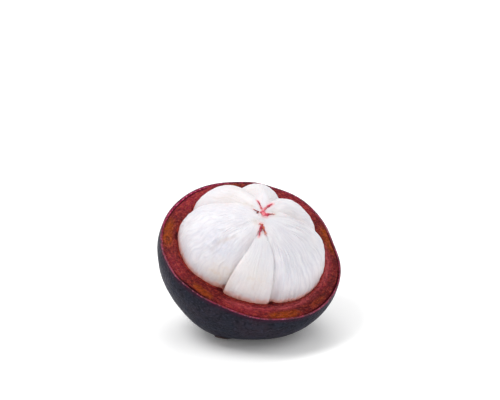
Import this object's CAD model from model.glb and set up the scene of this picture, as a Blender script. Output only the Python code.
import math

import bmesh
import bpy
import numpy as np
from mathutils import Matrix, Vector, noise
from mathutils.bvhtree import BVHTree


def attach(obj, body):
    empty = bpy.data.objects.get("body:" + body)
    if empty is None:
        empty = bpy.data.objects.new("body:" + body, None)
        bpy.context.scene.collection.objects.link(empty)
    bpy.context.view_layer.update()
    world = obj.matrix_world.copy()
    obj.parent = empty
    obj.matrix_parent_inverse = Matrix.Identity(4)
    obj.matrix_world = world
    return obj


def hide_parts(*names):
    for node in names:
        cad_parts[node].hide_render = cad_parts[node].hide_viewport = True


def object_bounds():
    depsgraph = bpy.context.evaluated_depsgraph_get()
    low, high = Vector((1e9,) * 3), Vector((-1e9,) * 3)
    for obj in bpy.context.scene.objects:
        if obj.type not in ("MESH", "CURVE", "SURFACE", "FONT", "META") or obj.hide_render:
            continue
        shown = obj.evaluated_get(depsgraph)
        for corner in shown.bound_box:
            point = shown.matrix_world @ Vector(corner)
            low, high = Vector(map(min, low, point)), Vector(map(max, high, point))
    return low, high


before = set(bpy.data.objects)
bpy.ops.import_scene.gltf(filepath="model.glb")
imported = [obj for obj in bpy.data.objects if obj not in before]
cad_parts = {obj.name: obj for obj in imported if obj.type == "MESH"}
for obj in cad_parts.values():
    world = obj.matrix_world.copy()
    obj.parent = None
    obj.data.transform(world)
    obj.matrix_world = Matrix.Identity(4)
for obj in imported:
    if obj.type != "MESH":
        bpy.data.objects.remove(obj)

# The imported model's box, kept to compare with the finished pieces.
CAD_LOW, CAD_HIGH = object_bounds()

# ---- how the half lies
MM = 0.001
LEAN = math.radians(28)
SPOT_DISTANCE = 28.55
SIDE_SHIFT = 0.338
BACK_SHIFT = -1.353
CUT_MIDDLE = Vector((
    (CAD_LOW.x + CAD_HIGH.x) / 2 + SIDE_SHIFT * MM,
    (CAD_LOW.y + CAD_HIGH.y) / 2 + BACK_SHIFT * MM,
    CAD_LOW.z + SPOT_DISTANCE * MM,
))
GROUND_UP = np.array([0, math.sin(LEAN), math.cos(LEAN)])

# ---- the rind, in millimetres
RIND_RADIUS = 31.6
RIND_DEPTH = 28.2
EQUATOR_DROP = 0.8
CORNER_HEIGHT = 0.017
CORNER_ANGLE = 43
DIMPLE_DEPTH = 0.9
DIMPLE_RADIUS = 7
SPOT_SOFTNESS = 0.35
RIND_COLUMNS = 480
# The section before it is spun: its steps, its edge's corners as inward and height, its first sizes.
SKIN_STEPS = 96
CUT_STEPS = 26
LIP_STEPS = 6
WALL_STEPS = 32
EDGE_CORNERS = [(0.02, -0.17), (0.1, -0.05), (0.24, 0), (0.4, -0.03)]
EDGE_WIDTH = 0.55
LIP_DROP = 0.9
WALL_START = 4
LIP_CLEARANCE = 0.36
LIP_ROLL = 0.3
# The number of each part's material.
PART_SLOTS = {"skin": 0, "edge": 1, "cut": 2, "lip": 2, "wall": 3}
# Where the rim stands out or is drawn in: angle, spread in degrees, height.
RIM_WAVES = [
    (-136, 15, -0.6), (-174, 9, 0.5), (-97, 10, -0.35), (-9, 13, -0.65), (32, 14, 0.75), (60, 8, 0.45),
    (168, 8, 0.2), (-40, 22, 0.25), (14, 16, 0.3), (98, 20, 0.3),
]
RIM_SHOULDER = 0.3
SKIN_EASE = 0.2
# Where the bowl is fuller or flatter: a direction, a spread and a height.
BOWL_SWELLS = [((-0.596, -0.4, -0.7), 0.32, 1), ((-0.05, -0.74, -0.67), 0.32, -0.7)]
# Dry brown scabs low on the skin: direction, spread, strength.
SCABS = [((-0.478, -0.549, -0.689), 0.045, 1), ((-0.431, -0.588, -0.685), 0.035, 0.7)]
SCAB_HEIGHT = 0.5
# Orange, riper patches of the cut face: angle, spread, distance out, reach, strength.
RIPE_PATCHES = [
    (148, 14, 29.2, 2.2, 1), (-155, 9, 28.2, 1.5, 1), (-95, 12, 29, 1.7, 1),
    (-6, 13, 28.8, 2.2, 1), (76, 8, 30, 1.3, 0.6), (-66, 10, 29, 1.5, 0.5),
]
# Crimson patches of the cut face, given the same way.
ROSY_PATCHES = [
    (105, 22, 28.5, 4, 1), (-126, 14, 28.5, 3, 0.7), (32, 14, 29.5, 3, 0.9),
    (-38, 22, 26.4, 1.5, 0.9), (178, 12, 29.5, 3, 0.6), (-84, 14, 26, 1, 0.7),
    (-116, 20, 26.4, 1.3, 0.9),
]
# Paler, rosy stretches beside the flesh, given the same way.
PALE_PATCHES = [(-36, 26, 25.9, 0.9, 0.8), (-78, 26, 25.9, 1, 0.9), (-122, 16, 26.4, 0.9, 0.6)]
# Dark notches by the flesh, given the same way.
NOTCH_SHADES = [
    (-145.6, 3.4, 23.1, 0.9, 1), (-101.5, 1.8, 23.4, 0.8, 1), (150, 4.5, 26, 0.6, 1),
    (38, 4, 24, 0.7, 0.7),
]
# The dark gap under the skin's edge, and where the bright edge is broad: angle, spread, strength.
SKIN_GAPS = [(-162, 13, 1), (120, 30, 0.65), (-10, 16, 0.8), (-50, 32, 0.8)]
BROAD_EDGE = (118, 32, 0.35)

# ---- the flesh, in millimetres
FLESH_RADIUS = 25
FLESH_RISE = 20.2
FLESH_DEPTH = 22
DENT_HEIGHT = 0.055
DENT_ANGLE = -152
DENT_SPREAD = 19
CROWN_FULLNESS = 0.985
ROUNDNESS = 0.3
HEART = np.array([-1.3, -0.3])
WEDGE_TIP = np.array([-3.9, -5])
SEAM_START_DEPTH = 0.12
SEAM_START_WIDTH = 1.2
FLESH_VOXEL = 0.34
# What counts as the ball's own surface and as a seam's wall.
BALL_SURFACE = 0.972
WALL_SURFACE = 0.26
# Where an aril's ribs fan out from, if not from the heart.
RIB_APEX = np.array([-2.4, -2.4])
RIB_STARTS = {"aril_left": RIB_APEX, "aril_right": RIB_APEX, "aril_wedge": WEDGE_TIP}
RIB_COUNT = 74
RIB_HEIGHT = 0.17
# How ribs waver, how far they run before they change, and how even they are.
PLAIN_RIBS = (0.035, 6, 0.45)
WAVY_RIBS = (0.05, 2.2, 0.25)
RIB_STRENGTH = {"aril_left": 0.8, "aril_right": 1, "aril_wedge": 0.5, "aril_back_right": 0.5}
FAINT_RIBS = 0.3
# Where an aril is crumpled or greyer: place, how far round about, how crumpled, how grey.
CRUMPLES = {
    "aril_left": ((-19.2, -4.6, 12), 6, 0.26, 1),
    "aril_right": ((2.5, -22, 8.5), 8.5, 0, 0.55),
}
# How high the rind's stain climbs an aril's foot.
FOOT_CLIMB = {"aril_wedge": 2.8, "aril_left": 2.6}
LOW_CLIMB = 1.6
# Seams that bow: where, how far round about, and the move.
BOWS = [
    ((-4.6, -14.5), 5, (0.95, 0)), ((-12.6, 18.6), 8, (-1.1, -0.67)),
    ((-11, -10), 4.5, (0.45, -0.75)), ((-16.5, -12.6), 3.5, (0.2, -0.33)),
    ((-6, -23.5), 4.5, (-0.85, 0)),
]
# Hollows where an aril is drawn in: place, how far round about, depth.
HOLLOWS = {
    "aril_left": [((-20.6, -11.6, 0), 6.6, 0.9), ((-18, -8.6, 12), 4.4, 0.7)],
    "aril_right": [((-1.5, -24.3, 0), 8, 1.3)],
}
# The small pit between the left aril's foot and the wedge, given the same way.
FOOT_PIT = ((-19, -13.4, -0.3), 1.3, 1.6)
# Folds pressed in the left aril: from, to, width, depth.
FOLDS = [
    ((-13.2, -5, 16.3), (-16.2, -4.2, 14.7), 0.55, 0.16),
    ((-16.2, -4.2, 14.7), (-18.6, -3.6, 12.9), 0.7, 0.16),
    ((-18.6, -3.6, 12.9), (-20.8, -4, 10.6), 0.9, 0.12),
]
# Tan stains on the flesh: place, how far round about, strength.
TAN_STAINS = [
    ((-20.8, -11.2, 5), 5.2, 0.8), ((-5.2, 5.2, 19), 1.2, 0.7), ((-3.9, 3.2, 19.4), 0.8, 0.7),
    ((-7, 12.5, 16.3), 7, 0.3), ((3, 14, 14), 6, 0.25), ((2.4, -1.9, 19.9), 1.5, 0.6),
    ((11.3, -2.9, 17.6), 4.5, 0.2), ((-11.6, -19.6, 8.8), 5.5, 0.5), ((-5.7, -3.1, 19.3), 1.3, 0.6),
    ((-17, -4, 14.1), 1.1, 0.25),
]
# Each seam: where it starts and the way that it runs outwards, in degrees.
TIP_WAY = math.degrees(math.atan2(WEDGE_TIP[1] - HEART[1], WEDGE_TIP[0] - HEART[0]))
SEAMS = {
    "left_and_back_left": (HEART, 121),
    "back_left_and_back": (HEART, 79.5),
    "back_and_back_right": (HEART, 37.5),
    "back_right_and_right": (HEART, -11),
    "left_and_right": (HEART, TIP_WAY),
    "right_and_wedge": (WEDGE_TIP, -93.3),
    "wedge_and_left": (WEDGE_TIP, -149.1),
}
# Each aril: its fullness, and its seams' names, sides, depths and widths of the rounding.
ARILS = {
    "aril_left": (1.012, [
        ("left_and_back_left", 1, 3, 8), ("wedge_and_left", -1, 2.7, 5.5),
        ("left_and_right", -1, 0.06, 0.8),
    ]),
    "aril_back_left": (1.009, [("back_left_and_back", 1, 2.8, 7.5), ("left_and_back_left", -1, 3, 7)]),
    "aril_back": (0.975, [("back_and_back_right", 1, 3.3, 8), ("back_left_and_back", -1, 3, 8)]),
    "aril_back_right": (0.94, [
        ("back_right_and_right", 1, 2.4, 6), ("back_and_back_right", -1, 2.2, 8),
    ]),
    "aril_right": (0.985, [
        ("right_and_wedge", 1, 2.1, 4), ("left_and_right", 1, 0.06, 0.8),
        ("back_right_and_right", -1, 2.5, 6.5),
    ]),
    "aril_wedge": (0.94, [("wedge_and_left", 1, 0.35, 1.8), ("right_and_wedge", -1, 0.25, 1.4)]),
}

# ---- the strands and the rosette
PAINTS = {
    "crimson": (150, 16, 52), "rose": (200, 62, 92), "salmon": (230, 132, 140), "blackberry": (66, 6, 12),
    "brown": (150, 88, 78), "tan": (210, 172, 156), "orange": (184, 86, 40),
}
# Strokes of the core: from, to, width, and the paint at each end.
STAR_STROKES = [
    (0.1, 1.2, 0.35, 3.1, 0.6, "salmon", "crimson"), (0.35, 3, 0.68, 5.6, 0.55, "crimson", "rose"),
    (0.4, 0.8, 2.3, 1.5, 0.7, "salmon", "crimson"), (2.1, 1.45, 5, 2.8, 0.85, "crimson", "rose"),
    (-2.2, 0.75, -1.6, 0.2, 1.5, "blackberry", "brown"), (-1.9, 0.7, -2.9, 2.5, 0.42, "brown", "tan"),
    (-1.3, 0.1, -0.3, 0, 0.6, "rose", "salmon"), (-0.2, -0.4, 0.3, 0.9, 1.05, "rose", "salmon"),
    (-0.8, -1.5, 0.3, -1.4, 0.8, "salmon", "crimson"), (-0.35, -0.3, 0.1, -1.8, 1, "salmon", "rose"),
    (0.2, -1.3, 2.2, -1.7, 1.1, "rose", "brown"), (2.1, -1.7, 3.5, -1.9, 0.45, "brown", "tan"),
]
FORK_STROKES = [
    (-0.3, 0.35, -0.55, -0.6, 1, "orange", "brown"), (-0.6, -0.4, -1.85, -2, 1.15, "crimson", "crimson"),
    (-1.8, -1.9, -2.6, -3.1, 0.46, "crimson", "rose"), (-0.3, -0.6, -0.2, -2.4, 0.66, "orange", "brown"),
    (-0.2, -2.3, -0.1, -3.5, 0.56, "orange", "tan"), (-1.25, 0.55, -0.3, 0.3, 0.5, "tan", "orange"),
]
STRAND_THICKNESS = 0.28
STRAND_VOXEL = 0.09
SMALLEST_STRAND = 100
BLEED_SPREAD = 2.2
# The grid over which the flesh's height is felt, from well above.
TOP_LINE = np.linspace(-11, 7, 73)
WELL_ABOVE = 30
ROSETTE_RADIUS = 4.6
ROSETTE_THICKNESS = 0.9
ROSETTE_LOBES = 6
ROSETTE_RINGS = 16
ROSETTE_LEVEL = -29


# ---- modelling helpers
def pick(piece):
    """Selects one piece alone and makes it the active one."""
    bpy.ops.object.select_all(action="DESELECT")
    piece.select_set(True)
    bpy.context.view_layer.objects.active = piece


def switch_to(mode):
    """Changes to the EDIT or the OBJECT mode."""
    bpy.ops.object.mode_set(mode=mode)


def select_mesh():
    """Selects all of the mesh in hand."""
    bpy.ops.mesh.select_all(action="SELECT")


def start_piece(name, add_shape, **settings):
    """Adds a basic shape, and names it and its mesh."""
    bpy.ops.object.select_all(action="DESELECT")
    add_shape(**settings)
    piece = bpy.context.view_layer.objects.active
    piece.name = name
    piece.data.name = name
    return piece


def read_points(piece):
    """A mesh's vertices as rows of x, y, z."""
    flat = np.empty(len(piece.data.vertices) * 3)
    piece.data.vertices.foreach_get("co", flat)
    return flat.reshape(-1, 3)


def write_points(piece, points):
    """Puts moved vertices back."""
    piece.data.vertices.foreach_set("co", np.asarray(points, dtype=float).ravel())
    piece.data.update()


def write_marks(piece, **marks):
    """Keeps numbers per vertex, by name, for the materials to read."""
    for name, values in marks.items():
        layer = piece.data.attributes.new(name, "FLOAT", "POINT")
        layer.data.foreach_set("value", np.asarray(values, dtype=float))


def apply_modifier(piece, kind, **settings):
    """Adds a modifier, sets it and applies it."""
    pick(piece)
    modifier = piece.modifiers.new(kind.lower(), kind)
    for name, value in settings.items():
        setattr(modifier, name, value)
    bpy.ops.object.modifier_apply(modifier=modifier.name)


def drop_crumbs(piece, fewest):
    """Deletes loose bits that have too few corners to be a part of the shape."""
    pick(piece)
    switch_to("EDIT")
    mesh = bmesh.from_edit_mesh(piece.data)
    unseen = set(mesh.verts)
    crumbs = []
    while unseen:
        island = [unseen.pop()]
        for corner in island:
            found = {side.other_vert(corner) for side in corner.link_edges} & unseen
            unseen -= found
            island += found
        if len(island) < fewest:
            crumbs += island
    bmesh.ops.delete(mesh, geom=crumbs, context="VERTS")
    bmesh.update_edit_mesh(piece.data)
    switch_to("OBJECT")


def ramp(value, start, end):
    """0 before start, 1 after end, and an even curve between."""
    t = np.clip((np.asarray(value, dtype=float) - start) / (end - start), 0, 1)
    return t * t * (3 - 2 * t)


def bell(away, spread, power=2):
    """1 in the middle, and softly down to 0 beyond a spread."""
    return np.exp(-(away / spread) ** power)


def near_place(points, place, spread):
    """1 at a place, and softly down to 0 round about it."""
    return np.exp(-((points - np.array(place)) ** 2).sum(axis=1) / spread ** 2)


def near_way(unit, way, spread):
    """1 in a direction, and softly down to 0 round about it."""
    return bell(np.arccos(np.clip(unit @ np.array(way), -1, 1)), spread)


def near_turn(degrees, middle, spread, power=2):
    """1 at an angle, and softly down to 0 on both sides of it."""
    return bell((degrees - middle + 180) % 360 - 180, spread, power)


def noise_at(points, size, shift):
    """Soft noise from -1 to 1 at each point, with lumps of the given size."""
    return np.array([noise.noise(Vector(p)) for p in points / size + shift])


def set_down(piece, crisp=180):
    """Leans a piece as the half lies, at real size, and smooths it up to an angle."""
    piece.scale = (MM, MM, MM)
    piece.rotation_euler = (LEAN, 0, 0)
    piece.location = CUT_MIDDLE
    pick(piece)
    bpy.ops.object.transform_apply()
    bpy.ops.object.shade_smooth_by_angle(angle=math.radians(crisp))


def hand_over(piece, node, slot, *materials):
    """Gives a finished piece its materials, its body, its CAD node and its slot."""
    for material in materials:
        piece.data.materials.append(material)
    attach(piece, "root")
    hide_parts(node)


# ---- the shape of the flesh
def seam_ways(seam, side):
    """A seam's level directions: out along it, and across it into the aril on one side."""
    way = math.radians(SEAMS[seam][1])
    return np.array([math.cos(way), math.sin(way)]), np.array([-math.sin(way), math.cos(way)]) * side


def seam_distance(points, seam, side):
    """How far points lie inside a seam's wall, and how far out along it."""
    along, across = seam_ways(seam, side)
    away = points[:, :2] - SEAMS[seam][0]
    return away @ across, away @ along


def inside_walls(points, seams):
    """How far points lie inside each of an aril's walls."""
    return [seam_distance(points, seam, side)[0] for seam, side, _, _ in seams]


def seam_drop(points, seams):
    """How far the flesh is drawn in beside its seams, more as they open outwards."""
    drop = np.zeros(len(points))
    for seam, side, depth, width in seams:
        inside, out = seam_distance(points, seam, side)
        first, last, roundness = (1, 10, 0.12) if "wedge" in seam else (4, 16, ROUNDNESS)
        opened = ramp(out, first, last)
        start_deep = min(SEAM_START_DEPTH, depth)
        start_wide = min(SEAM_START_WIDTH, width)
        here_deep = start_deep + (depth - start_deep) * opened
        here_wide = start_wide + (width - start_wide) * opened
        near = np.clip(1 - inside / here_wide, 0, 1)
        rounded = 1 - np.sqrt(np.clip(1 - near ** 2, 0, 1))
        drop += here_deep * (roundness * rounded + (1 - roundness) * near ** 2)
    return drop


def hollow_drop(points, name, pit=True):
    """How far an aril is drawn in at its hollows, and the left one at its foot's pit."""
    drop = np.zeros(len(points))
    for place, spread, depth in HOLLOWS.get(name, []) + [FOOT_PIT] * (pit and name == "aril_left"):
        drop += depth * near_place(points, place, spread)
    return drop


def fold_drop(points, name):
    """How far the left aril is pressed in along its folds."""
    drop = np.zeros(len(points))
    for start, end, width, depth in FOLDS:
        line = np.array(end) - np.array(start)
        away = points - np.array(start)
        along = np.clip(away @ line / (line @ line), 0, 1)
        drop += depth * bell(np.linalg.norm(away - along[:, None] * line, axis=1), width)
    return drop * (name == "aril_left")


def dent_factor(points, name):
    """Draws the left aril in low at the front."""
    if name != "aril_left":
        return np.ones(len(points))
    angles = np.degrees(np.arctan2(points[:, 1], points[:, 0]))
    return 1 - DENT_HEIGHT * near_turn(angles, DENT_ANGLE, DENT_SPREAD)


def aril_at(angle):
    """Name of the aril that lies in a direction from the middle of the cut."""
    spot = np.array([[math.cos(angle) * FLESH_RADIUS, math.sin(angle) * FLESH_RADIUS, 0]])
    for name, (_, seams) in ARILS.items():
        if all(inside[0] >= 0 for inside in inside_walls(spot, seams)):
            return name
    return "aril_right"


def flesh_reach(angles):
    """How far out the flesh comes at the cut, for angles in radians."""
    reach = np.empty(len(angles))
    for i, angle in enumerate(angles):
        name = aril_at(angle)
        fullness, seams = ARILS[name]
        spot = np.array([[math.cos(angle), math.sin(angle), 0]]) * FLESH_RADIUS * fullness
        spot *= dent_factor(spot, name)[:, None]
        reach[i] = np.linalg.norm(spot) - seam_drop(spot, seams)[0] - hollow_drop(spot, name, pit=False)[0]
    return reach


def make_aril(name):
    """One aril: a ball cut by its seam walls, rounded towards them and ribbed."""
    seams = ARILS[name][1]
    piece = start_piece(name, bpy.ops.mesh.primitive_uv_sphere_add, segments=192, ring_count=96)
    points = read_points(piece)
    low = points[:, 2] < 0
    points = points * np.array([FLESH_RADIUS, FLESH_RADIUS, FLESH_RISE])
    points[low, 2] *= FLESH_DEPTH / FLESH_RISE
    write_points(piece, points)
    switch_to("EDIT")
    for seam, side, _, _ in seams:
        select_mesh()
        bpy.ops.mesh.bisect(
            plane_co=(*SEAMS[seam][0], 0), plane_no=(*seam_ways(seam, side)[1], 0),
            use_fill=True, clear_inner=True,
        )
    switch_to("OBJECT")
    apply_modifier(piece, "REMESH", mode="VOXEL", voxel_size=FLESH_VOXEL)
    shape_aril(piece, name)
    set_down(piece, 32)
    return piece


def shape_aril(piece, name):
    """Rounds an aril towards its seams and raises its ribs, lumps and creases."""
    fullness, seams = ARILS[name]
    points = read_points(piece)
    # Vertices back onto the true ball and the true walls.
    scaled = points / np.array([FLESH_RADIUS, FLESH_RADIUS, FLESH_RISE])
    scaled[points[:, 2] < 0, 2] *= FLESH_RISE / FLESH_DEPTH
    ball = np.linalg.norm(scaled, axis=1)
    outer = ball > BALL_SURFACE
    points[outer] /= ball[outer, None]
    walls = [inside < WALL_SURFACE for inside in inside_walls(points, seams)]
    nearness = np.where(outer, 1, ball) ** 6
    # The fullness and the dent, the drawn-in seams, then lumps and ribs, all towards the middle.
    opened = ramp(np.hypot(points[:, 0], points[:, 1]), 3, 15)
    settled = 0.25 + 0.75 * ramp(np.hypot(points[:, 0] + 2, points[:, 1] + 2), 3, 9)
    points *= (CROWN_FULLNESS + (fullness - CROWN_FULLNESS) * opened)[:, None]
    points[:, :2] *= (1 - (1 - dent_factor(points, name)) * nearness)[:, None]
    reach = np.linalg.norm(points, axis=1)
    drop = seam_drop(points, seams) + hollow_drop(points, name) + fold_drop(points, name)
    away = points[:, :2] - RIB_STARTS.get(name, HEART)
    out = np.linalg.norm(away, axis=1)
    waver, stretch, evenness = WAVY_RIBS if name == "aril_left" else PLAIN_RIBS
    turn = np.arctan2(away[:, 1], away[:, 0])
    turn = turn + waver * noise_at(points, 7.5, 11.3) + waver * 0.9 * noise_at(points, 3, 2.3)
    run = (out + 0.6 * np.clip(-points[:, 2], 0, None)) / stretch
    fan = np.column_stack([np.cos(turn) * 24, np.sin(turn) * 24, run])
    comb = np.sin(turn * RIB_COUNT + 2.5 * noise_at(points, 6, 6.6)) * ramp(out, 8, 13)
    ribs = noise_at(fan, 1, 5.2) * 1.3 + comb * evenness
    strength = RIB_STRENGTH.get(name, FAINT_RIBS)
    lower = 1 - ramp(points[:, 2], 0, 5)
    ribs_shown = strength * ramp(out, 4, 9) * (1 + 0.4 * lower)
    edge_fade = np.prod([ramp(inside, 0, 2) for inside in inside_walls(points, seams)], axis=0)
    place, spread, crumple, shade = CRUMPLES.get(name, ((0, 0, 0), 1, 0, 0))
    near = near_place(points, place, spread)
    crumples = noise_at(points, 1.4, 4.6) * (0.03 + crumple * near)
    lumps = noise_at(points, 8.5, 3.1) * 0.32 + noise_at(points, 3.6, 7.7) * 0.1
    raised = (ribs * RIB_HEIGHT * ribs_shown + crumples + lumps * settled) * edge_fade
    points *= (1 - (drop - raised) * nearness / np.maximum(reach, 1))[:, None]
    hold_walls(points, seams, walls)
    for middle, spread, move in BOWS:
        points[:, :2] += near_place(points[:, :2], middle, spread)[:, None] * np.array(move)
    write_points(piece, points)
    write_marks(
        piece, turn=turn, run=run, grey=shade * near, ribbed=strength * ramp(out, 1.5, 6),
        fold=np.clip(fold_drop(points, name) / 0.2, 0, 1),
        rib_low=np.clip(0.5 - ribs * 0.6, 0, 1) * ribs_shown * edge_fade,
    )
    write_flesh_marks(piece, name, points, seams)


def hold_walls(points, seams, walls):
    """Keeps the walls flat, and lets nothing pass them."""
    for (seam, side, _, _), wall in zip(seams, walls):
        inside = seam_distance(points, seam, side)[0]
        push = np.where(wall | (inside < 0), -inside, 0)
        points[:, :2] += push[:, None] * seam_ways(seam, side)[1]


def write_flesh_marks(piece, name, points, seams):
    """Marks where an aril is near the rind, its pit, a seam, a stain or a strand."""
    climb = FOOT_CLIMB.get(name, LOW_CLIMB)
    foot = points[:, 2] + 0.3 * climb * noise_at(points, 1.6, 8.8)
    nearest = np.full(len(points), 99)
    for seam, side, depth, _ in seams:
        if depth > 0.3:
            nearest = np.minimum(nearest, seam_distance(points, seam, side)[0])
    tan = sum(strength * near_place(points, place, spread) for place, spread, strength in TAN_STAINS)
    write_marks(
        piece, tan=np.clip(tan, 0, 1), near_strand=strand_bleed(points),
        near_rind=(1 - ramp(points[:, 2], -1, 12)) * (0.35 if name == "aril_left" else 1),
        foot=(1 - ramp(foot, -0.5, climb)) ** 1.5,
        pit=near_place(points, *FOOT_PIT[:2]) * (name == "aril_left"),
        near_seam=1 - ramp(nearest, 0, 3.5),
    )


def stroke_tint(points, start, strokes):
    """The nearest stroke's distance, seen from above, in its own widths, and its colour there."""
    nearest = np.full(len(points), 99)
    tint = np.ones((len(points), 4))
    for x0, y0, x1, y1, width, first_paint, last_paint in strokes:
        away = points[:, :2] - (start + np.array([x0, y0]))
        line = np.array([x1, y1]) - np.array([x0, y0])
        along = np.clip(away @ line / np.linalg.norm(line) ** 2, 0, 1)
        off = np.linalg.norm(away - along[:, None] * line, axis=1) / (width / 2)
        first, last = (np.array(colour(*PAINTS[paint])) for paint in (first_paint, last_paint))
        closer = off < nearest
        tint[closer] = (first + (last - first) * along[:, None])[closer]
        nearest = np.minimum(nearest, off)
    return nearest, tint


def strand_bleed(points):
    """How strongly the strands' red has bled into the flesh."""
    bleed = np.zeros(len(points))
    for start, strokes in ((HEART, STAR_STROKES), (WEDGE_TIP, FORK_STROKES)):
        off, tint = stroke_tint(points, start, strokes)
        redness = np.clip(2 * (tint[:, 0] - tint[:, 1]), 0, 1)
        bleed = np.maximum(bleed, redness * bell(off, BLEED_SPREAD))
    return bleed * (points[:, 2] > 0)


def flesh_tops(arils):
    """Heights of the finished flesh over a small grid round the core, evened out a little."""
    depsgraph = bpy.context.evaluated_depsgraph_get()
    trees = [BVHTree.FromObject(aril, depsgraph) for aril in arils]
    down = Vector((0, math.sin(LEAN), -math.cos(LEAN)))
    tops = np.zeros((len(TOP_LINE), len(TOP_LINE)))
    for i, x in enumerate(TOP_LINE):
        for j, y in enumerate(TOP_LINE):
            flat = Vector((x, y * math.cos(LEAN), y * math.sin(LEAN))) * MM + CUT_MIDDLE
            hits = [tree.ray_cast(flat - down * WELL_ABOVE * MM, down)[3] for tree in trees]
            tops[i, j] = WELL_ABOVE - min([hit / MM for hit in hits if hit is not None], default=WELL_ABOVE)
    for gather in (np.max, np.mean):
        wide = np.pad(tops, 1, mode="edge")
        tops = gather([wide[i:i + len(tops), j:j + len(tops)] for i in range(3) for j in range(3)], axis=0)
    return tops


def flesh_height(tops, x, y):
    """Height of the finished flesh over a spot near the core."""
    step = TOP_LINE[1] - TOP_LINE[0]
    i, j = (np.clip((place - TOP_LINE[0]) / step, 0, len(TOP_LINE) - 1.001) for place in (x, y))
    i0, j0 = i.astype(int), j.astype(int)
    di, dj = i - i0, j - j0
    near = tops[i0, j0] * (1 - di) + tops[i0 + 1, j0] * di
    far = tops[i0, j0 + 1] * (1 - di) + tops[i0 + 1, j0 + 1] * di
    return near * (1 - dj) + far * dj


# ---- the rind
def rind_profile():
    """Half section of the rind: rows of part, measure, distance out and height."""
    rows = []
    top = math.asin(EQUATOR_DROP / RIND_DEPTH)
    for i in range(SKIN_STEPS + 1):
        rise = -math.pi / 2 + (top + math.pi / 2 - 0.012) * i / SKIN_STEPS
        height = RIND_DEPTH * math.sin(rise) - EQUATOR_DROP
        rows.append(("skin", rise, RIND_RADIUS * math.cos(rise), height))
    for i, (inward, height) in enumerate(EDGE_CORNERS):
        rows.append(("edge", i, RIND_RADIUS - inward, height))
    for i in range(CUT_STEPS + 1):
        part = (i / CUT_STEPS) ** 1.5
        rows.append(("cut", part, RIND_RADIUS - EDGE_WIDTH - part * 4.9, 0))
    for i in range(1, LIP_STEPS + 1):
        part = i / LIP_STEPS
        inward = 5.45 + 0.7 * math.sin(part * 1.4)
        rows.append(("lip", part, RIND_RADIUS - inward, -LIP_DROP * part))
    for i in range(1, WALL_STEPS + 1):
        fall = math.radians(WALL_START + (90 - WALL_START) * i / WALL_STEPS)
        rows.append(("wall", fall, 25.3 * math.cos(fall), -LIP_DROP - 21.8 * math.sin(fall)))
    return rows


def soft_reach(angles):
    """The flesh's reach at the cut, rounded off in the notches."""
    ring = np.arange(720) * (2 * math.pi / 720) - math.pi
    reach = flesh_reach(ring)
    weights = bell(np.arange(-12, 13) * 0.5, 2.2)
    weights /= weights.sum()
    wide = np.concatenate([reach[-12:], reach, reach[:12]])
    soft = np.convolve(wide, weights, mode="valid")
    return np.interp(angles, np.append(ring, math.pi), np.append(soft, soft[0]))


def soften_ground(points):
    """Flattens what would pass below the ground into a soft-edged spot."""
    height = points @ GROUND_UP + SPOT_DISTANCE
    soft = np.where(height > SPOT_SOFTNESS, height,
                    np.clip(height + SPOT_SOFTNESS, 0, None) ** 2 / (4 * SPOT_SOFTNESS))
    return points + (soft - height)[:, None] * GROUND_UP


def patches_at(patches, degrees, radius):
    """How strongly the cut face is tinted by some patches at each place."""
    tinted = np.zeros(len(degrees))
    for middle, spread, place, reach, strength in patches:
        turn = near_turn(degrees, middle, spread, 4)
        tinted = np.maximum(tinted, strength * turn * bell(radius - place, reach))
    return tinted


def make_rind():
    """The rind: a half section spun round, then its skin, cut face and inside shaped."""
    rows = rind_profile()
    piece = start_piece("rind_shell", bpy.ops.mesh.primitive_plane_add, size=1)
    switch_to("EDIT")
    mesh = bmesh.from_edit_mesh(piece.data)
    bmesh.ops.delete(mesh, geom=mesh.verts[:], context="VERTS")
    line = [mesh.verts.new((row[2], 0, row[3])) for row in rows]
    for first, second in zip(line, line[1:]):
        mesh.edges.new((first, second))
    bmesh.update_edit_mesh(piece.data)
    select_mesh()
    bpy.ops.mesh.spin(steps=RIND_COLUMNS, angle=2 * math.pi, center=(0, 0, 0), axis=(0, 0, 1))
    select_mesh()
    bpy.ops.mesh.remove_doubles(threshold=0.001)
    bpy.ops.mesh.normals_make_consistent()
    switch_to("OBJECT")
    shape_rind(piece, rows)
    set_down(piece)
    return piece


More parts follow.
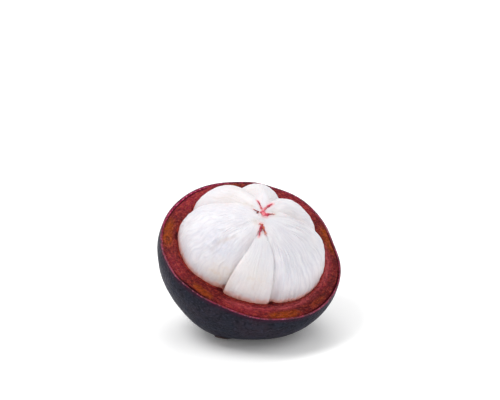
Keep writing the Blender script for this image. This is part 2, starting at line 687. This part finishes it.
def shape_rind(piece, rows):
    """Gives the spun section its corners, rim, cut relief, lip and flat spot."""
    points = read_points(piece)
    out = np.hypot(points[:, 0], points[:, 1])
    angles = np.arctan2(points[:, 1], points[:, 0])
    degrees = np.degrees(angles)
    parts, measures, outs, heights = (np.array(column) for column in zip(*rows))
    row_of = ((out[:, None] - outs) ** 2 + (points[:, 2:] - heights) ** 2).argmin(axis=1)
    part = parts[row_of]
    measure = measures[row_of]
    skin, edge, cut, lip, wall = (part == name for name in ("skin", "edge", "cut", "lip", "wall"))
    # Skin, with three faint corners, the rim's waves and the dimple underneath.
    level = np.where(skin, np.cos(measure), 1)
    near_rim = np.where(skin, ramp(measure, -0.9, 0), 1)
    shoulder = np.where(skin, ramp(measure, -0.16, 0.02), 1)
    corner = CORNER_HEIGHT * np.cos(3 * np.radians(degrees - CORNER_ANGLE))
    waves = sum(rise * near_turn(degrees, middle, spread) for middle, spread, rise in RIM_WAVES)
    skin_out = RIND_RADIUS * (1 + corner * level) - SKIN_EASE + waves * near_rim - RIM_SHOULDER * shoulder
    radius = skin_out * level
    height = points[:, 2].copy()
    height[skin] += (DIMPLE_DEPTH * bell(radius, DIMPLE_RADIUS))[skin]
    # Skin edge.
    radius[edge] = skin_out[edge] - (RIND_RADIUS - out[edge])
    # Cut face, from the skin edge to the lip, with the dark gap along its outside.
    lip_out = soft_reach(angles) + LIP_CLEARANCE
    rim_in = skin_out - EDGE_WIDTH
    radius[cut] = (rim_in + (lip_out - rim_in) * measure)[cut]
    from_skin = skin_out - radius
    to_lip = radius - lip_out
    gap_here = np.full(len(degrees), 0.25)
    for middle, spread, strength in SKIN_GAPS:
        gap_here = np.maximum(gap_here, strength * near_turn(degrees, middle, spread, 4))
    past_gap = from_skin - 0.7 - BROAD_EDGE[2] * near_turn(degrees, *BROAD_EDGE[:2])
    circle = np.column_stack([np.cos(angles), np.sin(angles), np.zeros(len(angles))])
    ring = circle * radius[:, None]
    relief = noise_at(ring, 2.6, 1.7) * 0.14 + noise_at(ring, 0.9, 4.4) * 0.07
    groove = -0.65 * gap_here * bell(past_gap - 0.12, 0.22)
    crown = 0.1 * np.sin(np.clip(measure, 0, 1) * math.pi)
    roll = -0.2 * ramp(-to_lip, -1, 0)
    height[cut] = (-0.1 + groove + crown + roll + relief * ramp(from_skin, 0.6, 1.4))[cut]
    # Lip, rolling over into the inside wall.
    roll_angle = measure * 1.45
    radius[lip] = (lip_out - LIP_ROLL * np.sin(roll_angle))[lip]
    height[lip] = (-0.3 - LIP_DROP * (1 - np.cos(roll_angle)) + relief)[lip]
    fall = measure - math.radians(WALL_START) * (1 - measure / (math.pi / 2))
    radius[wall] = ((lip_out - LIP_ROLL) * np.cos(fall))[wall]
    height[wall] = (-1.1 - 21.5 * np.sin(np.clip(measure, 0, math.pi / 2)))[wall]
    # Uneven hand cut, and gentle lumps, swells and scabs of the skin.
    wobble = 0.16 * np.sin(np.radians(degrees * 2 + 40))
    wobble += 0.1 * np.sin(np.radians(degrees * 5 - 70))
    fade = np.where(skin, ramp(measure, -0.2, 0), np.where(wall, 0, 1))
    height += wobble * fade - 0.16
    shaped = circle * radius[:, None]
    shaped[:, 2] = height
    unit = shaped / np.maximum(np.linalg.norm(shaped, axis=1), 1e-6)[:, None]
    lumps = noise_at(shaped, 11, 2.2) * 0.22 + noise_at(shaped, 3.2, 9.1) * 0.05 - 0.14
    for way, spread, swell in BOWL_SWELLS:
        lumps += swell * near_way(unit, way, spread)
    scab = np.max([strength * near_way(unit, way, spread) for way, spread, strength in SCABS], axis=0)
    scab *= 1 + 0.5 * noise_at(shaped, 1.2, 3.1)
    lumps += SCAB_HEIGHT * scab
    shaped[skin] += (unit * (lumps * ramp(-measure, 0, 0.25))[:, None])[skin]
    shaped[skin] = soften_ground(shaped[skin])
    write_points(piece, shaped)
    write_marks(
        piece, to_lip=to_lip, gap=gap_here, past_gap=past_gap, scab=scab,
        ripe=ramp(patches_at(RIPE_PATCHES, degrees, radius), 0.15, 0.85),
        rosy=patches_at(ROSY_PATCHES, degrees, radius),
        pale=patches_at(PALE_PATCHES, degrees, radius),
        notch=patches_at(NOTCH_SHADES, degrees, radius),
        below_rim=np.where(skin, -measure * RIND_DEPTH, 0),
    )
    for face in piece.data.polygons:
        face.material_index = min(PART_SLOTS[part[v]] for v in face.vertices)


# ---- strands of the core
def make_strands(name, start, strokes, hub, tops):
    """Red strands that run out along the seams from one hub."""
    piece = start_piece(name, bpy.ops.mesh.primitive_uv_sphere_add, segments=32, ring_count=16)
    points = read_points(piece) * np.array([hub, hub, 0.24])
    points[:, :2] += start + np.array([-0.35, -0.5 * hub])
    write_points(piece, points)
    parts = [piece]
    for number, (x0, y0, x1, y1, width, _, _) in enumerate(strokes):
        strand = start_piece(
            name + "_part", bpy.ops.mesh.primitive_uv_sphere_add, segments=24, ring_count=40
        )
        local = read_points(strand)
        along = (local[:, 2] + 1) / 2
        swell = 1 + 0.25 * np.sin(along * 8 + number * 1.9)
        blunt = 1.25 - 0.65 * along
        length = math.hypot(x1 - x0, y1 - y0)
        a, b = (x1 - x0) / length, (y1 - y0) / length
        side = local[:, 0] * width / 2 * swell * blunt + 0.1 * np.sin(along * 5 + number * 2.3)
        write_points(strand, np.column_stack([
            start[0] + x0 + a * along * length - b * side,
            start[1] + y0 + b * along * length + a * side,
            local[:, 1] * STRAND_THICKNESS * blunt,
        ]))
        parts.append(strand)
    pick(piece)
    for part in parts:
        part.select_set(True)
    bpy.ops.object.join()
    apply_modifier(piece, "REMESH", mode="VOXEL", voxel_size=STRAND_VOXEL)
    drop_crumbs(piece, SMALLEST_STRAND)
    apply_modifier(piece, "SMOOTH", factor=0.5, iterations=3)
    points = read_points(piece)
    points[:, 2] += flesh_height(tops, points[:, 0], points[:, 1]) + 0.06
    points += np.column_stack([noise_at(points, 0.7, shift) for shift in (1, 5, 9)]) * 0.09
    write_points(piece, points)
    tint = piece.data.attributes.new("strand_tint", "FLOAT_COLOR", "POINT")
    tint.data.foreach_set("color", stroke_tint(points, start, strokes)[1].ravel())
    set_down(piece)
    return piece


# ---- the rosette underneath
def make_rosette():
    """The woody stigma mark on the bottom: six blunt lobes round a small middle."""
    piece = start_piece(
        "rosette_scar", bpy.ops.mesh.primitive_circle_add, vertices=144, radius=ROSETTE_RADIUS,
        fill_type="NGON",
    )
    switch_to("EDIT")
    select_mesh()
    for _ in range(ROSETTE_RINGS):
        bpy.ops.mesh.inset(thickness=ROSETTE_RADIUS / (ROSETTE_RINGS + 1.5))
    bpy.ops.mesh.poke()
    select_mesh()
    bpy.ops.mesh.extrude_region_move(TRANSFORM_OT_translate={"value": (0, 0, -ROSETTE_THICKNESS)})
    select_mesh()
    bpy.ops.mesh.normals_make_consistent()
    switch_to("OBJECT")
    points = read_points(piece)
    out = np.hypot(points[:, 0], points[:, 1]) / ROSETTE_RADIUS
    angle = np.arctan2(points[:, 1], points[:, 0])
    low = points[:, 2] < -ROSETTE_THICKNESS / 2
    wave = np.abs(np.sin(angle * ROSETTE_LOBES / 2))
    lobe = 0.8 + 0.2 * wave ** 0.55
    points[:, :2] *= (1 - (1 - lobe) * out ** 2)[:, None]
    valley = bell(wave, 0.22)
    crown = 0.3 * bell(out, 0.16)
    height = 0.34 - 0.22 * valley * ramp(out, 0.1, 0.5) + crown - 0.42 * ramp(out, 0.72, 1)
    height += noise_at(points, 0.7, 2) * 0.07
    points[low, 2] = (ROSETTE_LEVEL - height)[low] + 0.38
    points[~low, 2] = ROSETTE_LEVEL + 1.15
    write_points(piece, points)
    write_marks(piece, lobe_valley=np.clip(valley * ramp(out, 0.05, 0.4), 0, 1), rosette_out=out)
    set_down(piece)
    return piece


# ---- material helpers
def add_node(tree, kind, inputs=None, **settings):
    """Adds a node, sets it, and sets or links its inputs by name or number."""
    made = tree.nodes.new("ShaderNode" + kind)
    for name, value in settings.items():
        setattr(made, name, value)
    for key, value in (inputs or {}).items():
        if isinstance(value, bpy.types.NodeSocket):
            tree.links.new(value, made.inputs[key])
        else:
            made.inputs[key].default_value = value
    return made


def colour(red, green, blue):
    """A colour given as on a paint card, 0 to 255, turned to linear light."""
    parts = []
    for value in (red, green, blue):
        value /= 255
        parts.append(value / 12.92 if value <= 0.04045 else ((value + 0.055) / 1.055) ** 2.4)
    return (*parts, 1)


def ease(tree, value, start, end, low=0, high=1):
    """Turns a range of values to another, with an even curve."""
    ranges = {"Value": value, "From Min": start, "From Max": end, "To Min": low, "To Max": high}
    return add_node(tree, "MapRange", ranges, interpolation_type="SMOOTHSTEP").outputs["Result"]


def sum_of(tree, operation, first, second):
    """One sum with two values."""
    return add_node(tree, "Math", {0: first, 1: second}, operation=operation).outputs[0]


def soft_noise(tree, place, size, detail, roughness, distortion=0):
    """Cloudy noise about a place."""
    given = {"Vector": place, "Scale": size, "Detail": detail, "Roughness": roughness}
    return add_node(tree, "TexNoise", {**given, "Distortion": distortion}).outputs["Fac"]


def make_group(name, numbers, results):
    """An empty shader group that takes a place and some numbers, and gives some numbers."""
    group = bpy.data.node_groups.new(name, "ShaderNodeTree")
    group.interface.new_socket("Place", in_out="INPUT", socket_type="NodeSocketVector")
    for socket in numbers:
        group.interface.new_socket(socket, in_out="INPUT", socket_type="NodeSocketFloat")
    for socket in results:
        group.interface.new_socket(socket, in_out="OUTPUT", socket_type="NodeSocketFloat")
    return group, group.nodes.new("NodeGroupInput").outputs, group.nodes.new("NodeGroupOutput").inputs


def make_mottle():
    """Soft patches: a mask between 0 and 1."""
    group, given, result = make_group("soft_mottle", ["Size", "Start", "End"], ["Mask"])
    patches = soft_noise(group, given["Place"], given["Size"], 4, 0.55)
    group.links.new(ease(group, patches, given["Start"], given["End"]), result["Mask"])
    return group


def make_grain():
    """Fine leathery or pithy grain: a height, and a mask of its pits."""
    group, given, result = make_group("fine_grain", ["Size", "Pits"], ["Height", "Pit Mask"])
    wanted = {"Vector": given["Place"], "Scale": given["Size"], "Randomness": 0.9}
    pebbles = add_node(group, "TexVoronoi", wanted, feature="SMOOTH_F1").outputs["Distance"]
    fuzz = soft_noise(group, given["Place"], given["Size"], 5, 0.6)
    height = sum_of(group, "SUBTRACT", fuzz, sum_of(group, "MULTIPLY", pebbles, given["Pits"]))
    group.links.new(height, result["Height"])
    group.links.new(ease(group, pebbles, 0.35, 0.75), result["Pit Mask"])
    return group


MOTTLE = make_mottle()
GRAIN = make_grain()


def start_material(name, **constants):
    """A new material with the constant values of its Principled shader."""
    material = bpy.data.materials.new(name)
    material.use_nodes = True
    for socket, value in constants.items():
        material.node_tree.nodes["Principled BSDF"].inputs[socket.replace("_", " ")].default_value = value
    return material


class Paint:
    """A material in the making: its named masks, and the colour that has been laid so far."""

    def __init__(self, name, base, patches, grain=None, **constants):
        """Starts from a colour, with patches (size, start, end) and a grain (size, pits)."""
        self.material = start_material(name, **constants)
        self.tree = self.material.node_tree
        self.base = base
        # Object coordinates turned back to the fruit's own frame, in millimetres.
        given = {"Vector": self.node("TexCoord")["Object"]}
        given.update(Location=CUT_MIDDLE, Rotation=(LEAN, 0, 0), Scale=(MM, MM, MM))
        self.place = self.node("Mapping", given, vector_type="TEXTURE")["Vector"]
        self.masks = {}
        for mask, (size, start, end) in patches.items():
            given = {"Place": self.place, "Size": size, "Start": start, "End": end}
            self.masks[mask] = self.node("Group", given, node_tree=MOTTLE)["Mask"]
        if grain:
            given = {"Place": self.place, "Size": grain[0], "Pits": grain[1]}
            made = self.node("Group", given, node_tree=GRAIN)
            self.masks.update(height=made["Height"], pits=made["Pit Mask"])

    def node(self, kind, given=None, **settings):
        """Adds a node to the material and gives its outputs."""
        return add_node(self.tree, kind, given, **settings).outputs

    def mask(self, wanted):
        """A mask or a vertex mark by name, or with low and high, or with start, end, low and high."""
        if isinstance(wanted, tuple):
            name, *ranges = wanted
            return ease(self.tree, self.mask(name), *(ranges if len(ranges) == 4 else (0, 1, *ranges)))
        if not isinstance(wanted, str):
            return wanted
        if wanted not in self.masks:
            self.masks[wanted] = self.node("Attribute", attribute_name=wanted)["Fac"]
        return self.masks[wanted]

    def mix(self, mask, *shades):
        """Mixes two colours by a mask."""
        first, second = (colour(*shade) if isinstance(shade, tuple) else shade for shade in shades)
        given = {0: self.mask(mask), 6: first, 7: second}
        return self.node("Mix", given, data_type="RGBA")[2]

    def lay(self, *coats):
        """Lays colours over what is there, each where all its masks let it."""
        for shade, first, *others in coats:
            mask = self.mask(first)
            for other in others:
                mask = sum_of(self.tree, "MULTIPLY", mask, self.mask(other))
            self.base = self.mix(mask, self.base, shade)

    def finish(self, roughness, height, strength, distance):
        """Feeds the base colour, roughness and bump, and gives the material."""
        given = {"Height": self.mask(height), "Strength": strength, "Distance": distance}
        bump = self.node("Bump", given)["Normal"]
        fed = {"Base Color": self.base, "Roughness": self.mask(roughness), "Normal": bump}
        for socket, value in fed.items():
            self.tree.links.new(value, self.tree.nodes["Principled BSDF"].inputs[socket])
        return self.material


# ---- the materials
def skin_material():
    """Ripe purple-black skin with a thin grey bloom, and its scabs."""
    paint = Paint(
        "ripe_skin", (34, 34, 42),
        {"patches": (0.09, 0.38, 0.66), "bloom": (0.35, 0.42, 0.72), "specks": (1.3, 0.56, 0.7)},
        grain=(1.1, 0.7), Specular_IOR_Level=0.02, Specular_Tint=(0.66, 0.78, 1, 1),
        Sheen_Weight=0.03, Sheen_Tint=(0.45, 0.6, 1, 1), Sheen_Roughness=0.4,
    )
    paint.lay(
        ((46, 38, 46), "patches"),
        ((45, 50, 62), "bloom", 0.5),
        ((12, 10, 18), ("pits", 0, 0.6)),
        ((74, 74, 92), "specks", 0.45),
        ((58, 20, 40), ("below_rim", 0, 1.2, 0.5, 0)),
        ((62, 46, 38), ("scab", 0.3, 0.55, 0, 1)),
    )
    return paint.finish(("bloom", 0.4, 0.55), "height", 0.6, 0.0004)


def skin_edge_material():
    """The skin cut through at the rim: a thin bright magenta line."""
    patches = {"breaks": (0.55, 0.42, 0.58), "fine": (1.3, 0.52, 0.66)}
    paint = Paint("cut_skin_edge", (64, 2, 22), patches, Specular_IOR_Level=0.5)
    paint.lay(((120, 16, 52), "breaks"), ((206, 100, 136), "fine", 0.5))
    return paint.finish(("fine", 0.32, 0.5), "fine", 0.2, 0.0002)


def ring_fibres(paint):
    """Noise drawn out round the ring of the cut face."""
    def vector_sum(operation, given):
        return paint.node("VectorMath", given, operation=operation)
    flat = vector_sum("MULTIPLY", {0: paint.place, 1: (1, 1, 0)})[0]
    way = vector_sum("NORMALIZE", {0: flat})[0]
    turned = vector_sum("SCALE", {0: way, "Scale": 17})[0]
    outward = sum_of(paint.tree, "MULTIPLY", vector_sum("LENGTH", {0: flat})["Value"], 1.5)
    drawn = paint.node("CombineXYZ", {"Z": outward})[0]
    return soft_noise(paint.tree, vector_sum("ADD", {0: turned, 1: drawn})[0], 1, 3, 0.6)


def cut_face_material():
    """Freshly cut rind: moist, fibrous maroon pith with patches, and a dark gap by the skin."""
    patches = {
        "broad": (0.16, 0.36, 0.64), "lumps": (0.8, 0.42, 0.6), "flecks": (1.5, 0.52, 0.66),
        "pores": (2.2, 0.5, 0.64),
    }
    paint = Paint("cut_rind", (98, 18, 26), patches, grain=(1.3, 0.7), Specular_IOR_Level=0.08)
    fibres = ring_fibres(paint)
    paint.masks["fibres"] = fibres
    paint.lay(
        ((76, 12, 17), "broad"),
        ((142, 32, 52), "rosy", 0.8),
        ((128, 36, 36), "lumps", 0.45),
        ((134, 56, 0), "ripe", ("lumps", 0.7, 1)),
        ((62, 6, 14), ("fibres", 0.5, 0.64, 0, 0.65)),
        ((172, 74, 52), ("fibres", 0.34, 0.47, 0.4, 0)),
        ((50, 2, 12), "pores", 0.35),
        ((180, 80, 54), "flecks", 0.3),
        ((178, 62, 38), ("to_lip", -0.3, 0.9, 0.8, 0), ("lumps", 0.3, 1)),
        ((184, 84, 88), "pale", ("fibres", 0.36, 0.62, 0.85, 0.25)),
        ((56, 2, 8), ("notch", 0.1, 0.8, 0, 0.9)),
        (paint.mix("flecks", (140, 24, 62), (206, 96, 130)), ("past_gap", -0.12, 0, 1, 0)),
        ((46, 0, 12), ("past_gap", -0.12, 0, 0, 1), ("past_gap", 0.26, 0.66, 1, 0), "gap"),
    )
    height = sum_of(paint.tree, "SUBTRACT", paint.mask("height"), fibres)
    return paint.finish(("pores", 0.34, 0.56), height, 0.6, 0.0005)


def inside_wall_material():
    """The rind's inside, which holds the flesh: dark red and damp."""
    patches = {"broad": (0.5, 0.35, 0.65)}
    paint = Paint("rind_inside", (96, 16, 26), patches, grain=(1.2, 0.5), Specular_IOR_Level=0.4)
    paint.lay(((142, 52, 44), "broad"))
    return paint.finish(("broad", 0.45, 0.6), "height", 0.3, 0.0003)


def flesh_material():
    """Moist white aril: ribbed, stained by the rind at its foot and pink by the strands."""
    patches = {"clouds": (0.13, 0.35, 0.68), "spots": (0.55, 0.45, 0.72), "blots": (0.5, 0.42, 0.62)}
    paint = Paint(
        "aril_flesh", (221, 219, 224), patches, Subsurface_Weight=0.25,
        Subsurface_Radius=(1, 0.62, 0.55), Subsurface_Scale=0.0009, Specular_IOR_Level=0.4,
    )
    # Fine ribs that fan out over an aril from the core.
    fan = {"Z": paint.mask("run")}
    for axis, part in (("X", "COSINE"), ("Y", "SINE")):
        across = paint.node("Math", {0: paint.mask("turn")}, operation=part)[0]
        fan[axis] = sum_of(paint.tree, "MULTIPLY", across, 32)
    drawn = paint.node("CombineXYZ", fan)[0]
    paint.masks["veins"] = soft_noise(paint.tree, drawn, 1, 3, 0.55, 0.3)
    paint.lay(
        ((229, 227, 229), "clouds"),
        ((201, 198, 208), ("veins", 0.46, 0.62, 0, 0.5), "ribbed"),
        ((194, 190, 203), "rib_low", 0.3),
        ((194, 196, 212), "grey", ("blots", 0.25, 0.5)),
        ((214, 202, 202), "near_rind", ("clouds", 0.6, 0.35)),
        ((220, 206, 204), "near_seam", 0.2),
        ((200, 184, 178), "fold", 0.4),
        ((208, 190, 172), "tan", ("spots", 0.55, 1)),
        ((228, 138, 108), "foot", 0.68),
        ((124, 34, 24), ("pit", 0.2, 0.8, 0, 0.9)),
        ((236, 168, 172), ("near_strand", 0.05, 0.9, 0, 0.8)),
    )
    return paint.finish(("veins", 0.3, 0.7, 0.38, 0.52), "veins", 0.6, 0.0006)


def strand_material():
    """Red strands of the core, from dark to rose and tan."""
    paint = Paint(
        "core_strands", None, {"specks": (1.9, 0.4, 0.62), "blots": (0.9, 0.48, 0.6)},
        Subsurface_Weight=0.1, Subsurface_Radius=(1, 0.35, 0.3), Subsurface_Scale=0.0008,
        Specular_IOR_Level=0.08,
    )
    paint.base = paint.node("Attribute", attribute_name="strand_tint")["Color"]
    paint.lay(((236, 160, 164), "specks", 0.3), ((150, 12, 46), "blots", 0.5))
    return paint.finish(("specks", 0.35, 0.5), "specks", 0.3, 0.0002)


def rosette_material():
    """Dry, woody lobes, brown with darker creases."""
    patches = {"broad": (0.8, 0.36, 0.66)}
    paint = Paint("woody_rosette", (74, 50, 40), patches, grain=(2.6, 0.8), Specular_IOR_Level=0.3)
    paint.lay(
        ((116, 84, 62), "broad"),
        ((34, 22, 22), "lobe_valley"),
        ((52, 36, 38), ("rosette_out", 0.75, 1, 0, 0.6)),
    )
    return paint.finish(("broad", 0.6, 0.8), "height", 0.6, 0.0004)


# ---- the studio
WHITE = (1, 1, 1, 1)
FLOOR_SIZE = 30
SURROUNDINGS = 0.69
REFLECTED = 0.22
# Each soft box: power, size, and how far right, up and towards the camera, in metres.
LIGHTS = {
    "key_light": (3.4, 0.45, -0.42, 0.62, 0.38),
    "fill_light": (1.35, 0.6, 0.42, 0.46, 0.55),
    "crown_light": (2.3, 0.6, 0.08, 0.86, -0.1),
}
VIEW_SIDE = math.radians(-30.7)
VIEW_HEIGHT = math.radians(22)
VIEW_WIDTH = 0.16755
AIM_UP = 0.01676
AIM_LEFT = 0.0007
LENS = 600
SENSOR = 36
TOWARDS_CAMERA = Vector((
    math.sin(VIEW_SIDE) * math.cos(VIEW_HEIGHT),
    -math.cos(VIEW_SIDE) * math.cos(VIEW_HEIGHT),
    math.sin(VIEW_HEIGHT),
))
CAMERA_RIGHT = Vector((math.cos(VIEW_SIDE), math.sin(VIEW_SIDE), 0))
CAMERA_UP = TOWARDS_CAMERA.cross(CAMERA_RIGHT)


def make_floor():
    """A plain pale floor, wide enough to fill every view."""
    ground = (0, 0, CAD_LOW.z)
    floor = start_piece("floor", bpy.ops.mesh.primitive_plane_add, size=FLOOR_SIZE, location=ground)
    bpy.ops.object.transform_apply()
    floor.data.materials.append(start_material(
        "studio_floor", Roughness=0.9, Specular_IOR_Level=0.1, Base_Color=(0.99, 0.99, 0.99, 1),
        Emission_Color=WHITE, Emission_Strength=0.06,
    ))


def place_in_scene(name, data, spot, away):
    """Puts a camera or a light in the scene, facing back along a direction."""
    placed = bpy.data.objects.new(name, data)
    bpy.context.scene.collection.objects.link(placed)
    placed.location = spot
    placed.rotation_euler = (-away).to_track_quat("-Z", "Y").to_euler()
    return placed


def make_camera():
    """The camera, well back with a long lens."""
    data = bpy.data.cameras.new("camera")
    data.lens = LENS
    data.sensor_width = SENSOR
    data.clip_start = 0.01
    data.clip_end = 100
    aim = CUT_MIDDLE + CAMERA_UP * AIM_UP - CAMERA_RIGHT * AIM_LEFT
    spot = aim + TOWARDS_CAMERA * (VIEW_WIDTH * LENS / SENSOR)
    bpy.context.scene.camera = place_in_scene("camera", data, spot, TOWARDS_CAMERA)


def make_studio():
    """Soft lights and white surroundings, which reflections see dimmer than they light."""
    world = bpy.data.worlds.new("studio")
    scene = bpy.context.scene
    scene.world = world
    world.use_nodes = True
    tree = world.node_tree
    background = tree.nodes["Background"]
    background.inputs["Color"].default_value = WHITE
    glossy = add_node(tree, "LightPath").outputs["Is Glossy Ray"]
    ranges = {"Value": glossy, "To Min": SURROUNDINGS, "To Max": REFLECTED}
    strength = add_node(tree, "MapRange", ranges).outputs["Result"]
    tree.links.new(strength, background.inputs["Strength"])
    for name, (power, size, right, up, towards) in LIGHTS.items():
        data = bpy.data.lights.new(name, "AREA")
        data.shape = "DISK"
        data.size = size
        data.energy = power
        away = CAMERA_RIGHT * right + CAMERA_UP * up + TOWARDS_CAMERA * towards
        place_in_scene(name, data, CUT_MIDDLE + away, away)
    scene.view_settings.view_transform = "Standard"
    scene.view_settings.look = "None"


# ---- all of it
make_camera()
make_studio()
make_floor()

rind = make_rind()
hand_over(
    rind, "rind", "rind",
    skin_material(), skin_edge_material(), cut_face_material(), inside_wall_material(),
)

flesh = flesh_material()
arils = []
for aril in ARILS:
    piece = make_aril(aril)
    arils.append(piece)
    piece.name = aril + "_flesh"
    hand_over(piece, aril, "aril", flesh)

strands = strand_material()
tops = flesh_tops(arils)
star = make_strands("star_strands", HEART, STAR_STROKES, 0.95, tops)
hand_over(star, "core_star", "core", strands)
fork = make_strands("fork_strands", WEDGE_TIP, FORK_STROKES, 0.4, tops)
hand_over(fork, "core_fork", "core", strands)

rosette = make_rosette()
hand_over(rosette, "stigma_rosette", "rosette", rosette_material())
